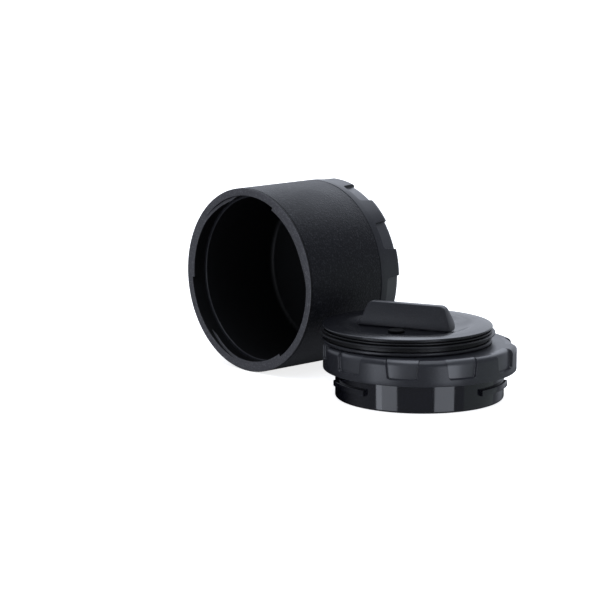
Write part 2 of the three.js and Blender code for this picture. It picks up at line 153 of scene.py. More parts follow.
def arcPiece(name, corners, degrees, steps):
    # a closed section swept about Z with both ends filled, middle of the sweep at -Y
    piece = drawProfile(name, roundedPath(corners))
    bpy.ops.mesh.edge_face_add()
    spinRound([(degrees, steps)])
    closeUp(piece)
    return place(piece, (0, 0, 0), (0, 0, -90 - degrees / 2))


def applyPlace(piece):
    pick(piece)
    bpy.ops.object.transform_apply(location=True, rotation=True, scale=True)


def place(piece, location, turn=(0, 0, 0)):
    # turn is in degrees, about Z first, then Y, then X
    piece.rotation_mode = "ZYX"
    piece.rotation_euler = [math.radians(angle) for angle in turn]
    piece.location = location
    applyPlace(piece)
    piece.rotation_mode = "XYZ"
    return piece


def copyPiece(piece, name):
    double = piece.copy()
    double.data = piece.data.copy()
    bpy.context.scene.collection.objects.link(double)
    return rename(double, name)


def around(piece, count, start=0):
    # copies of a tool piece in equal turns about Z, joined to one
    copies = [piece] + [copyPiece(piece, piece.name) for _ in range(count - 1)]
    for step, one in enumerate(copies):
        place(one, (0, 0, 0), (0, 0, start + 360 / count * step))
    deselectAll()
    for one in copies:
        one.select_set(True)
    bpy.context.view_layer.objects.active = piece
    bpy.ops.object.join()
    return piece


def combine(piece, tool, operation):
    # boolean with a tool piece that is used up
    pick(piece)
    change = piece.modifiers.new(operation.lower(), "BOOLEAN")
    change.operation = operation
    change.solver = "EXACT"
    change.object = tool
    bpy.ops.object.modifier_apply(modifier=change.name)
    bpy.data.objects.remove(tool)
    return piece


def rodsOnCircle(radius, circle, count, low, high, centre=(0, 0)):
    # upright rods as a tool piece, for bosses and holes
    deselectAll()
    bpy.ops.mesh.primitive_cylinder_add(
        vertices=shared["rodSteps"], radius=radius, depth=high - low, location=(circle, 0, (low + high) / 2))
    rods = bpy.context.object
    applyPlace(rods)
    around(rods, count)
    return place(rods, (*centre, 0))


def bevelEdges(piece, width, segments, angle):
    pick(piece)
    bevel = piece.modifiers.new("edges", "BEVEL")
    bevel.width = width
    bevel.segments = segments
    bevel.limit_method = "ANGLE"
    bevel.angle_limit = math.radians(angle)
    bpy.ops.object.modifier_apply(modifier=bevel.name)
    return piece


def facesUp(face):
    return face.normal.z > 0.5


def twoFinishes(piece, first, second, onSecond):
    # the faces that answer to onSecond get the second finish
    piece.data.materials.append(first)
    piece.data.materials.append(second)
    for face in piece.data.polygons:
        face.material_index = int(onSecond(face))


def finishPiece(piece, body, node, material=None):
    # no material is given for a piece that has two finishes already
    pick(piece)
    bpy.ops.object.shade_smooth_by_angle(angle=math.radians(shared["smoothAngle"]))
    if material:
        piece.data.materials.append(material)
    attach(piece, body)
    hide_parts(node)
    return piece


# shader effects that more than one finish uses

def newGroup(name, inputs, outputs):
    # all its sockets are plain numbers; the inputs come with their first values
    group = bpy.data.node_groups.new(name, "ShaderNodeTree")
    for label, value in inputs.items():
        socket = group.interface.new_socket(label, in_out="INPUT", socket_type="NodeSocketFloat")
        socket.default_value = value
    for label in outputs:
        group.interface.new_socket(label, in_out="OUTPUT", socket_type="NodeSocketFloat")
    return group, group.nodes.new("NodeGroupInput"), group.nodes.new("NodeGroupOutput")


def addNode(tree, kind, **values):
    node = tree.nodes.new(kind)
    for label, value in values.items():
        setattr(node, label, value)
    return node


def addNoise(tree, scale, detail):
    # cloudy pattern through the piece, with its scale from a socket
    coords = addNode(tree, "ShaderNodeTexCoord")
    noise = addNode(tree, "ShaderNodeTexNoise", noise_dimensions="3D")
    noise.inputs["Detail"].default_value = detail
    tree.links.new(coords.outputs["Object"], noise.inputs["Vector"])
    tree.links.new(scale, noise.inputs["Scale"])
    return noise


def addRange(tree, value, low, high, **settings):
    # 0 where the value is low, 1 where it is high
    spread = addNode(tree, "ShaderNodeMapRange", **settings)
    spread.inputs["From Min"].default_value = low
    spread.inputs["From Max"].default_value = high
    tree.links.new(value, spread.inputs["Value"])
    return spread


def mixValues(tree, share, low, high):
    # goes from low to high with the share; either is a number or a socket
    mix = addNode(tree, "ShaderNodeMix", data_type="FLOAT")
    tree.links.new(share, mix.inputs[0])
    for socket, value in zip(mix.inputs[2:4], (low, high)):
        if isinstance(value, float):
            socket.default_value = value
        else:
            tree.links.new(value, socket)
    return mix.outputs[0]


def mixColours(tree, share, first, second):
    # the mix node has its two colours in sockets 6 and 7 and the result in socket 2
    mix = addNode(tree, "ShaderNodeMix", data_type="RGBA")
    tree.links.new(share, mix.inputs[0])
    mix.inputs[6].default_value = (*first, 1)
    mix.inputs[7].default_value = (*second, 1)
    return mix.outputs[2]


def makeGrainGroup():
    # two sizes of fine moulded or sprayed grain, as a height and as a mask of its tops
    look = {"fineDetail": 2.0, "broadDetail": 1.0, "maskLow": 0.52, "maskHigh": 0.72}
    group, source, result = newGroup(
        "surfaceGrain", {"Fine Scale": 3000.0, "Broad Scale": 700.0, "Broad Share": 0.3}, ["Height", "Mask"])
    fine = addNoise(group, source.outputs["Fine Scale"], look["fineDetail"])
    broad = addNoise(group, source.outputs["Broad Scale"], look["broadDetail"])
    height = mixValues(group, source.outputs["Broad Share"], fine.outputs[0], broad.outputs[0])
    mask = addRange(group, fine.outputs[0], look["maskLow"], look["maskHigh"])
    group.links.new(height, result.inputs["Height"])
    group.links.new(mask.outputs[0], result.inputs["Mask"])
    return group


def makeWearGroup():
    # slow cloudy change of gloss, as handling leaves it
    look = {"detail": 4.0, "distortion": 0.6, "cloudLow": 0.3, "cloudHigh": 0.7}
    group, source, result = newGroup(
        "handlingMarks", {"Scale": 60.0, "Low": 0.4, "High": 0.5}, ["Roughness"])
    cloud = addNoise(group, source.outputs["Scale"], look["detail"])
    cloud.inputs["Distortion"].default_value = look["distortion"]
    spread = addRange(group, cloud.outputs[0], look["cloudLow"], look["cloudHigh"])
    link = group.links.new
    link(source.outputs["Low"], spread.inputs["To Min"])
    link(source.outputs["High"], spread.inputs["To Max"])
    link(spread.outputs[0], result.inputs["Roughness"])
    return group


grainGroup = makeGrainGroup()
wearGroup = makeWearGroup()


def makeFinish(name, look):
    # surface with grain in its bump and colour, and handling in its gloss
    material = bpy.data.materials.new(name)
    material.use_nodes = True
    tree = material.node_tree
    shader = tree.nodes["Principled BSDF"]
    shader.inputs["Specular IOR Level"].default_value = look["specular"]
    shader.inputs["Metallic"].default_value = look.get("metallic", 0.0)
    grain = addNode(tree, "ShaderNodeGroup", node_tree=grainGroup)
    grain.inputs["Fine Scale"].default_value = look["fineScale"]
    grain.inputs["Broad Scale"].default_value = look["broadScale"]
    grain.inputs["Broad Share"].default_value = look["broadShare"]
    wear = addNode(tree, "ShaderNodeGroup", node_tree=wearGroup)
    wear.inputs["Scale"].default_value = look["cloudScale"]
    wear.inputs["Low"].default_value = look["roughLow"]
    wear.inputs["High"].default_value = look["roughHigh"]
    colour = mixColours(tree, grain.outputs["Mask"], look["colour"], look["fleck"])
    bump = addNode(tree, "ShaderNodeBump")
    bump.inputs["Strength"].default_value = look["bump"]
    bump.inputs["Distance"].default_value = look["bumpDepth"]
    link = tree.links.new
    link(colour, shader.inputs["Base Color"])
    link(wear.outputs["Roughness"], shader.inputs["Roughness"])
    link(grain.outputs["Height"], bump.inputs["Height"])
    link(bump.outputs["Normal"], shader.inputs["Normal"])
    return material


finishes = {
    "coat": makeFinish("sprayedCoat", {
        "colour": (0.0045, 0.0048, 0.0068), "fleck": (0.024, 0.025, 0.029), "specular": 0.25,
        "fineScale": 1200, "broadScale": 700, "broadShare": 0.3, "bump": 0.8, "bumpDepth": 0.0004,
        "cloudScale": 45, "roughLow": 0.40, "roughHigh": 0.48}),
    # rim's end face: real grain, with its colour raised as painted light so the face looks lit
    "rimFace": makeFinish("texturedRimPaintedLight", {
        "colour": (0.062, 0.061, 0.066), "fleck": (0.120, 0.118, 0.125), "specular": 0.5,
        "fineScale": 1300, "broadScale": 800, "broadShare": 0.3, "bump": 0.5, "bumpDepth": 0.0003,
        "cloudScale": 60, "roughLow": 0.38, "roughHigh": 0.46}),
    "satin": makeFinish("mouldedSatin", {
        "colour": (0.017, 0.0175, 0.0215), "fleck": (0.029, 0.030, 0.035), "specular": 0.5,
        "fineScale": 1900, "broadScale": 900, "broadShare": 0.3, "bump": 0.14, "bumpDepth": 0.00014,
        "cloudScale": 60, "roughLow": 0.30, "roughHigh": 0.36}),
    # panel floors: really smoother, and lighter in colour with stronger reflection than the lands as a painted
    # highlight
    "panel": makeFinish("smoothPanelPaintedHighlight", {
        "colour": (0.024, 0.025, 0.030), "fleck": (0.031, 0.032, 0.037), "specular": 1.0,
        "fineScale": 5000, "broadScale": 400, "broadShare": 0.6, "bump": 0.03, "bumpDepth": 0.00006,
        "cloudScale": 80, "roughLow": 0.31, "roughHigh": 0.36}),
    "dish": makeFinish("smoothDish", {
        "colour": (0.005, 0.0052, 0.007), "fleck": (0.008, 0.0083, 0.011), "specular": 0.5,
        "fineScale": 4200, "broadScale": 700, "broadShare": 0.4, "bump": 0.05, "bumpDepth": 0.00008,
        "cloudScale": 60, "roughLow": 0.19, "roughHigh": 0.24}),
    "gloss": makeFinish("polishedSkirt", {
        "colour": (0.006, 0.006, 0.009), "fleck": (0.008, 0.008, 0.011), "specular": 0.5,
        "fineScale": 5000, "broadScale": 260, "broadShare": 0.7, "bump": 0.03, "bumpDepth": 0.00006,
        "cloudScale": 80, "roughLow": 0.06, "roughHigh": 0.10}),
    "liner": makeFinish("linerSatin", {
        "colour": (0.003, 0.003, 0.0035), "fleck": (0.005, 0.005, 0.006), "specular": 0.3,
        "fineScale": 3600, "broadScale": 1000, "broadShare": 0.3, "bump": 0.12, "bumpDepth": 0.00012,
        "cloudScale": 50, "roughLow": 0.48, "roughHigh": 0.56}),
    "rubber": makeFinish("siliconeRubber", {
        "colour": (0.005, 0.005, 0.006), "fleck": (0.008, 0.008, 0.009), "specular": 0.4,
        "fineScale": 5200, "broadScale": 1600, "broadShare": 0.2, "bump": 0.10, "bumpDepth": 0.00008,
        "cloudScale": 120, "roughLow": 0.34, "roughHigh": 0.44}),
    # valve: darker, duller and rougher than the seal's rubber, as painted shade for a recess round it
    "valve": makeFinish("valveDarkenedAsShade", {
        "colour": (0.003, 0.003, 0.0035), "fleck": (0.005, 0.005, 0.006), "specular": 0.1,
        "fineScale": 5200, "broadScale": 1600, "broadShare": 0.2, "bump": 0.10, "bumpDepth": 0.00008,
        "cloudScale": 120, "roughLow": 0.60, "roughHigh": 0.70}),
    "steel": makeFinish("drawnSteel", {
        "colour": (0.48, 0.49, 0.51), "fleck": (0.56, 0.57, 0.59), "specular": 0.5, "metallic": 1.0,
        "fineScale": 6000, "broadScale": 1500, "broadShare": 0.3, "bump": 0.08, "bumpDepth": 0.00005,
        "cloudScale": 300, "roughLow": 0.28, "roughHigh": 0.38}),
}
print("finishes made:", len(finishes))


# grip panels that the lid ring and the base ring share

grip = {
    "count": 10,
    "depth": 0.0015,
    "width": 0.016,  # at the ring's free edge
    "taper": 0.001,  # how far each side closes in towards the joint side
    "corner": 0.0012,
    "wall": 0.0006,  # width of a panel's sloped and rounded side
    "edge": 0.003,  # round of the ring's free edge
    "jointEdge": 0.0004,  # round of its other edge
    "fade": 0.003,  # stretch of the end face over which a panel runs out
    "floorShare": 0.9,  # points sunk by more than this share of the depth belong to a floor
    "fine": 0.00012,  # mesh step where a side or corner needs it
    "rowStep": 0.0005,  # mesh step up the rest of the side
    "gapSteps": 4,  # faces from a panel to midway to the next
    "middleSteps": 6,  # faces over the middle of a panel
    "edgeSteps": 12,
    "fadeSteps": 10,
}


def panelSectors():
    # mesh steps over one panel, from midway to midway: fine at its sides, wide between them
    radius = shared["bodyRadius"]
    half = grip["width"] / 2
    outer = math.degrees(math.asin((half + grip["wall"]) / (radius - grip["edge"] - grip["fade"])))
    inner = math.degrees(math.asin((half - grip["taper"] - grip["corner"] - grip["wall"]) / radius))
    gap = (180 / grip["count"] - outer, grip["gapSteps"])
    side = (outer - inner, round(math.radians(outer - inner) * radius / grip["fine"]))
    return [gap, side, (2 * inner, grip["middleSteps"]), side, gap]


def panelRows(closedEnd, top):
    # heights up a ring's side: fine over a panel's closed end, wider above it
    low = closedEnd - grip["wall"]
    high = closedEnd + grip["corner"] + grip["wall"]
    last = top - grip["edge"]
    fineCount = round((high - low) / grip["fine"])
    wideCount = round((last - high) / grip["rowStep"])
    rows = [low + (high - low) * step / fineCount for step in range(fineCount)]
    return rows + [high + (last - high) * step / wideCount for step in range(wideCount)]


def panelFloor(r):
    # radius of a panel's floor under a point of the ring's plain outline
    inner = shared["bodyRadius"] - grip["edge"] - grip["fade"]
    return r - grip["depth"] * min(1, (r - inner) / grip["fade"])


def onSkin(r, z, top):
    # whether a point lies on a ring's outer side, on its free edge or on its end face
    side = shared["bodyRadius"]
    onRound = r > side - grip["edge"] and z > top - grip["edge"]
    onFace = z > top - shared["tiny"] and r > side - grip["edge"] - grip["fade"]
    return r > side - shared["tiny"] or onRound or onFace


def sinkPanels(piece, closedEnd, top):
    # move the ring's outer skin to the panels' floors, and say which points are on a floor
    pitch = math.tau / grip["count"]
    sunk = set()
    for vertex in piece.data.vertices:
        x, y, z = vertex.co
        r = math.hypot(x, y)
        if not onSkin(r, z, top):
            continue
        turn = math.atan2(x, -y)
        off = math.remainder(turn, pitch)
        across, along = r * math.sin(off), r * math.cos(off)
        half = grip["width"] / 2 - grip["taper"] * min(1, (top - z) / (top - closedEnd))
        side = abs(across) - (half - grip["corner"])
        end = closedEnd + grip["corner"] - z
        distance = math.hypot(max(side, 0), max(end, 0)) + min(max(side, end), 0) - grip["corner"]
        share = min(1, max(0, 0.5 - distance / grip["wall"]))
        if share == 0:
            continue
        share = share * share * (3 - 2 * share)
        along += share * (math.sqrt(panelFloor(r) ** 2 - across ** 2) - along)
        axis = turn - off
        vertex.co = (along * math.sin(axis) + across * math.cos(axis),
                     across * math.sin(axis) - along * math.cos(axis), z)
        if share > grip["floorShare"]:
            sunk.add(vertex.index)
    return sunk


def gripRing(name, insideCorners, foot, top, land):
    # ring whose free end is up: inside corners run from the end face round to the joint side
    radius = shared["bodyRadius"]
    closedEnd = foot + land
    outside = [(radius, foot, grip["jointEdge"], 3)] + [(radius, z) for z in panelRows(closedEnd, top)]
    outside.append((radius, top, grip["edge"], grip["edgeSteps"]))
    fades = [grip["fade"] * step / grip["fadeSteps"] for step in range(1, grip["fadeSteps"] + 1)]
    endFace = [(radius - grip["edge"] - fade, top) for fade in fades]
    corners = outside + endFace + insideCorners
    onAxis = insideCorners[0][0] == 0
    if onAxis:
        split = next(i for i, corner in enumerate(corners) if corner[0] == 0)
        corners = corners[split + 1:] + corners[:split + 1]
    piece = drawProfile(name, roundedPath(corners), not onAxis)
    spinRound(panelSectors())
    bpy.ops.object.mode_set(mode="OBJECT")
    around(piece, grip["count"])
    bpy.ops.object.mode_set(mode="EDIT")
    closeUp(piece)
    sunk = sinkPanels(piece, closedEnd, top)
    # the sunk floors take the lighter panel finish, a painted highlight on the same moulding
    twoFinishes(piece, finishes["satin"], finishes["panel"],
                lambda face: all(index in sunk for index in face.vertices))
    return piece


# screws of the base and of the lid, three to a circle, with their heads down

screws = {
    "count": 3, "circle": 0.028, "turnStep": 20,  # degrees that each socket is turned from the last
    "headRadius": 0.0027, "headHeight": 0.0015, "headRound": 0.0006, "headEdge": 0.0001,
    "domeRadius": 0.001485, "domeRise": 0.00004, "domeEdge": 0.0003,  # the head's end is slightly domed
    "shank": 0.00135, "tipChamfer": 0.0004, "socket": 0.00125, "socketDepth": 0.0009, "socketSides": 6,
    "bore": 0.00165, "boss": 0.0034,
    "baseHead": 0.0033, "baseTip": 0.0076, "lidHead": 0.0167, "lidTip": 0.023,  # heights of head and tip
}


def screwRods(part, low, high):
    # bosses or bores for a circle of screws, as a tool piece
    return rodsOnCircle(screws[part], screws["circle"], screws["count"], low, high)


def makeScrew(name, headTop, tip):
    low = headTop - screws["headHeight"]
    piece = turnPiece(name, [
        (0, low),
        (screws["domeRadius"], low + screws["domeRise"]),
        (screws["headRadius"], low + screws["domeEdge"], screws["headRound"], 6),
        (screws["headRadius"], headTop, screws["headEdge"], 2),
        (screws["shank"], headTop),
        (screws["shank"], tip - screws["tipChamfer"]),
        (screws["shank"] - screws["tipChamfer"], tip),
        (0, tip),
    ], shared["smallSteps"], closed=False)
    deselectAll()
    bpy.ops.mesh.primitive_cylinder_add(
        vertices=screws["socketSides"], radius=screws["socket"], depth=2 * screws["socketDepth"],
        location=(0, 0, low))
    return combine(piece, bpy.context.object, "DIFFERENCE")


def setScrews(node, body, headTop, tip, settle):
    first = makeScrew(node + "_head", headTop, tip)
    for step in range(screws["count"]):
        angle = math.tau * step / screws["count"]
        name = f"{node}_{step + 1}"
        one = copyPiece(first, name + "_turned")
        spot = (screws["circle"] * math.cos(angle), screws["circle"] * math.sin(angle), 0)
        place(one, spot, (0, 0, screws["turnStep"] * step))
        finishPiece(settle(one), body, name, finishes["steel"])
    bpy.data.objects.remove(first)


# body, modelled standing on its base and then laid on its side

collarLow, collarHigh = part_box("bayonet_collar")
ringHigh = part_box("base_ring")[1]
bodyAxis = ((collarLow.x + collarHigh.x) / 2, ringHigh.y, (collarLow.z + collarHigh.z) / 2)
bodyRoll = -62  # degrees about its own axis


def layBody(piece):
    return place(piece, bodyAxis, (90, 0, bodyRoll))


def makeSleeve():
    sleeve = {"foot": 0.015, "top": 0.0641, "edge": 0.0004}
    radius = shared["bodyRadius"]
    piece = turnPiece("outer_sleeve_coated", [
        (sleeveInner, sleeve["foot"]),
        (radius, sleeve["foot"], sleeve["edge"], 4),
        (radius, sleeve["top"], sleeve["edge"], 4),
        (sleeveInner, sleeve["top"]),
    ])
    finishPiece(layBody(piece), "canister", "outer_sleeve", finishes["coat"])


collar = {
    "inner": 0.0443, "foot": 0.0568, "rim": 0.001, "rimEdge": 0.0005, "rimUnder": 0.0002, "mouthEdge": 0.0004,
    "lipRadius": 0.0428, "lipHeight": 0.0036, "lipSpan": 82, "lipTurn": 55.4, "lipSteps": 60,
    "lipFall": 0.003, "lipSlope": 37,  # a lip's far end slopes down over these degrees
    "lipFade": 8,  # degrees over which that end runs out into the wall
    "lipEdge": 0.0002, "lipSink": 0.00008,  # lip face under the rim face
}


def makeLips():
    # arcs inside the rim; the far end of each slopes down and runs out into the wall
    top = shared["bodyLength"]
    lipTop = top - collar["lipSink"]
    lipFoot = top - collar["lipHeight"]
    root = (collar["inner"] + collarOuter) / 2
    lip = arcPiece("lip", [
        (collar["lipRadius"], lipFoot, collar["lipEdge"], 3),
        (root, lipFoot),
        (root, lipTop),
        (collar["lipRadius"], lipTop, collar["lipEdge"], 4),
    ], collar["lipSpan"], collar["lipSteps"])
    for vertex in lip.data.vertices:
        along = math.degrees(math.atan2(vertex.co.x, -vertex.co.y)) + collar["lipSpan"] / 2
        if vertex.co.z > top - collar["lipHeight"] / 2:
            vertex.co.z -= collar["lipFall"] * max(0, 1 - along / collar["lipSlope"])
        reach = vertex.co.xy.length
        outward = max(0, collar["inner"] + collar["lipEdge"] - reach) * max(0, 1 - along / collar["lipFade"])
        vertex.co.xy *= 1 + outward / reach
    return around(lip, shared["bayonetCount"], collar["lipTurn"])


def makeCollar():
    radius = shared["bodyRadius"]
    top = shared["bodyLength"]
    piece = turnPiece("bayonet_collar_rim", [
        (collar["inner"], collar["foot"]),
        (collarOuter, collar["foot"]),
        (collarOuter, top - collar["rim"]),
        (radius, top - collar["rim"], collar["rimUnder"], 2),
        (radius, top, collar["rimEdge"], 5),
        (collar["inner"], top, collar["mouthEdge"], 4),
    ])
    combine(piece, makeLips(), "UNION")
    # the rim's end face is textured and lighter than its inside; the lighter colour is partly painted light,
    # standing in for light the lamps don't bring to that face
    twoFinishes(piece, finishes["liner"], finishes["rimFace"], facesUp)
    finishPiece(layBody(piece), "canister", "bayonet_collar")


def makeLiner():
    liner = {"bottom": 0.0073, "floor": 0.0018, "flange": 0.0015, "flangeTop": 0.0565, "wall": 0.0015,
             "footRound": 0.0018, "floorRound": 0.0025, "mouthEdge": 0.0005,
             "bossFoot": 0.0055, "boreTop": 0.008}
    bore = shared["boreRadius"]
    floorTop = liner["bottom"] + liner["floor"]
    piece = turnPiece("inner_liner_cup", [
        (0, liner["bottom"]),
        (bore + liner["wall"], liner["bottom"], liner["footRound"], 6),
        (bore + liner["wall"], liner["flangeTop"] - liner["flange"]),
        (collarOuter, liner["flangeTop"] - liner["flange"]),
        (collarOuter, liner["flangeTop"]),
        (bore, liner["flangeTop"], liner["mouthEdge"], 4),
        (bore, floorTop, liner["floorRound"], 8),
        (0, floorTop),
    ], closed=False)
    bossTop = liner["bottom"] + liner["floor"] / 2
    combine(piece, screwRods("boss", liner["bossFoot"], bossTop), "UNION")
    combine(piece, screwRods("bore", 0, liner["boreTop"]), "DIFFERENCE")
    # the flange's face takes the lighter satin finish as painted light, so the ledge inside the mouth looks
    # lit
    twoFinishes(piece, finishes["liner"], finishes["satin"],
                lambda face: facesUp(face) and face.center.z > floorTop + liner["floor"])
    finishPiece(layBody(piece), "canister", "inner_liner")


def makeBaseRing():
    base = {"height": 0.0147, "spigot": 0.005, "opening": 0.0413, "openingEdge": 0.0004, "plateSeat": 0.0092,
            "shoulder": 0.0385, "shoulderFoot": 0.0077, "inner": 0.0448, "land": 0.0046}
    piece = gripRing("base_ring_moulded", [
        (base["opening"], base["height"], base["openingEdge"], 3),
        (base["opening"], base["plateSeat"]),
        (base["shoulder"], base["plateSeat"]),
        (base["shoulder"], base["shoulderFoot"]),
        (base["inner"], base["shoulderFoot"]),
        (base["inner"], -base["spigot"]),
        (collarOuter, -base["spigot"]),
        (collarOuter, 0),
    ], 0, base["height"], base["land"])
    place(piece, (0, 0, base["height"]), (180, 0, 0))
    finishPiece(layBody(piece), "canister", "base_ring")


def makeBasePlate():
    plate = {"radius": 0.041, "foot": 0.003, "top": 0.0052, "panel": 0.033, "step": 0.0006,
             "innerRound": 0.0006, "outerRound": 0.0005, "edge": 0.0004}
    piece = turnPiece("base_plate_moulded", [
        (0, plate["foot"] + plate["step"]),
        (plate["panel"], plate["foot"] + plate["step"], plate["innerRound"], 4),
        (plate["panel"] + plate["step"], plate["foot"], plate["outerRound"], 4),
        (plate["radius"], plate["foot"], plate["edge"], 3),
        (plate["radius"], plate["top"]),
        (0, plate["top"]),
    ], closed=False)
    combine(piece, screwRods("bore", 0, 2 * plate["top"]), "DIFFERENCE")
    finishPiece(layBody(piece), "canister", "base_plate", finishes["satin"])


makeSleeve()
makeCollar()
makeLiner()
makeBaseRing()
makeBasePlate()
setScrews("base_screw", "canister", screws["baseHead"], screws["baseTip"], layBody)
print("body made")


# lid, standing on its skirt

capLow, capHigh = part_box("lid_cap")
lidCentre = ((capLow.x + capHigh.x) / 2, (capLow.y + capHigh.y) / 2, 0)
lidTurn = 33.7  # degrees
lid = {"skirtHeight": 0.0144, "top": 0.027, "skirtRadius": 0.04205, "wall": 0.002, "capUnder": 0.0246,
       "plateLift": 0.017, "plateTop": 0.019, "bossFoot": 0.0193}


def standLid(piece):
    return place(piece, lidCentre, (0, 0, lidTurn))


def makeLidCap():
    cap = {"grooveInner": 0.0432, "grooveOuter": 0.046, "grooveTop": 0.0164, "land": 0.0034,
           "bossTop": 0.0258, "boreTop": 0.0234}
    bore = lid["skirtRadius"] + shared["seat"]
    piece = gripRing("lid_cap_moulded", [
        (0, lid["top"]),
        (0, lid["capUnder"]),
        (bore, lid["capUnder"]),
        (bore, lid["skirtHeight"]),
        (cap["grooveInner"], lid["skirtHeight"]),
        (cap["grooveInner"], cap["grooveTop"]),
        (cap["grooveOuter"], cap["grooveTop"]),
        (cap["grooveOuter"], lid["skirtHeight"]),
    ], lid["skirtHeight"], lid["top"], cap["land"])
    combine(piece, screwRods("boss", lid["bossFoot"], cap["bossTop"]), "UNION")
    combine(piece, screwRods("bore", lid["plateTop"], cap["boreTop"]), "DIFFERENCE")
    finishPiece(standLid(piece), "lid", "lid_cap")


def makeLidPlug():
    skirt = {"plateRound": 0.002, "innerEdge": 0.0003, "footRound": 0.0009}
    lug = {"radius": 0.0439, "low": 0.0066, "high": 0.0097, "span": 37.5, "turn": -46.7, "edge": 0.0005,
           "steps": 30}
    inner = lid["skirtRadius"] - lid["wall"]
    root = lid["skirtRadius"] - lid["wall"] / 2
    piece = turnPiece("lid_plug_skirt", [
        (0, lid["plateLift"]),
        (inner, lid["plateLift"], skirt["plateRound"], 6),
        (inner, 0, skirt["innerEdge"], 3),
        (lid["skirtRadius"], 0, skirt["footRound"], 6),
        (lid["skirtRadius"], lid["capUnder"] - shared["seat"]),
        (inner, lid["capUnder"] - shared["seat"]),
        (inner, lid["plateTop"]),
        (0, lid["plateTop"]),
    ], closed=False)
    block = arcPiece("lug", [
        (root, lug["low"]),
        (lug["radius"], lug["low"], lug["edge"], 4),
        (lug["radius"], lug["high"], lug["edge"], 4),
        (root, lug["high"]),
    ], lug["span"], lug["steps"])
    combine(piece, around(block, shared["bayonetCount"], lug["turn"]), "UNION")
    combine(piece, screwRods("bore", lid["skirtHeight"], lid["capUnder"]), "DIFFERENCE")
    finishPiece(standLid(piece), "lid", "lid_plug", finishes["gloss"])


def makeLidGasket():
    gasket = {"inner": 0.0435, "outer": 0.0457, "low": 0.0141, "high": 0.0161, "edge": 0.0004}
    piece = turnPiece("lid_gasket_ring", [
        (gasket["inner"], gasket["low"], gasket["edge"], 3),
        (gasket["outer"], gasket["low"], gasket["edge"], 3),
        (gasket["outer"], gasket["high"]),
        (gasket["inner"], gasket["high"]),
    ])
    finishPiece(standLid(piece), "lid", "lid_gasket", finishes["rubber"])


makeLidCap()
makeLidPlug()
makeLidGasket()
setScrews("lid_screw", "lid", screws["lidHead"], screws["lidTip"], standLid)
print("lid made")


# plunger, with the handle along X and the valve in front of it

plateLow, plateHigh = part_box("plunger_plate")
plungerCentre = ((plateLow.x + plateHigh.x) / 2, (plateLow.y + plateHigh.y) / 2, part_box("plunger_base")[0].z)
plungerTurn = 22.1  # degrees
plunger = {"height": 0.0088, "dishFloor": 0.0065, "plateUnder": 0.0049, "valveFront": 0.0141}
hinge = {
    "height": 0.0046, "lugSpacing": 0.018, "lugWidth": 0.004, "lugRound": 0.0024, "lugSink": 0.0008,
    "roundShare": 0.98, "roundSteps": 10,  # an edge is rounded by a little less than its block allows
    "pinRadius": 0.0012, "pinStart": -0.0205, "pinEnd": 0.014, "pinEdge": 0.0003, "pinAngle": 40,
    "boreStart": -0.0262,  # the bore is open at the handle's -X end
}
hingeAxis = plunger["dishFloor"] + hinge["height"]
lugPlaces = (-hinge["lugSpacing"] / 2, hinge["lugSpacing"] / 2)


def setPlunger(piece):
    return place(piece, plungerCentre, (0, 0, plungerTurn))


def rodOnHinge(radius, low, high, steps):
    deselectAll()
    bpy.ops.mesh.primitive_cylinder_add(
        vertices=steps, radius=radius, depth=high - low,
        location=((low + high) / 2, 0, hingeAxis), rotation=(0, math.pi / 2, 0))
    rod = bpy.context.object
    applyPlace(rod)
    return rod


def pinBore():
    return rodOnHinge(hinge["pinRadius"] + shared["seat"], hinge["boreStart"],
                      hinge["pinEnd"] + shared["seat"], shared["rodSteps"])


def addBlock(centre, size):
    deselectAll()
    bpy.ops.mesh.primitive_cube_add(size=1, location=centre)
    block = bpy.context.object
    block.scale = size
    applyPlace(block)
    return block


def roundEdges(piece, wanted, offset, segments):
    # bevel the edges whose two ends answer to wanted
    pick(piece)
    bpy.ops.object.mode_set(mode="EDIT")
    bpy.ops.mesh.select_all(action="DESELECT")
    mesh = bmesh.from_edit_mesh(piece.data)
    for edge in mesh.edges:
        if wanted(edge.verts[0].co, edge.verts[1].co):
            edge.select = True
    bpy.ops.mesh.bevel(offset=offset, segments=segments, affect="EDGES")
    bpy.ops.object.mode_set(mode="OBJECT")


def makeHingeLug(x):
    # block on the dish, its upper edges rounded about the pin
    low = plunger["dishFloor"] - hinge["lugSink"]
    high = hingeAxis + hinge["lugRound"]
    block = addBlock((x, 0, (low + high) / 2), (hinge["lugWidth"], 2 * hinge["lugRound"], high - low))
    roundEdges(block, lambda a, b: min(a.z, b.z) > hingeAxis and abs(a.y - b.y) < shared["tiny"],
               hinge["lugRound"] * hinge["roundShare"], hinge["roundSteps"])
    return block


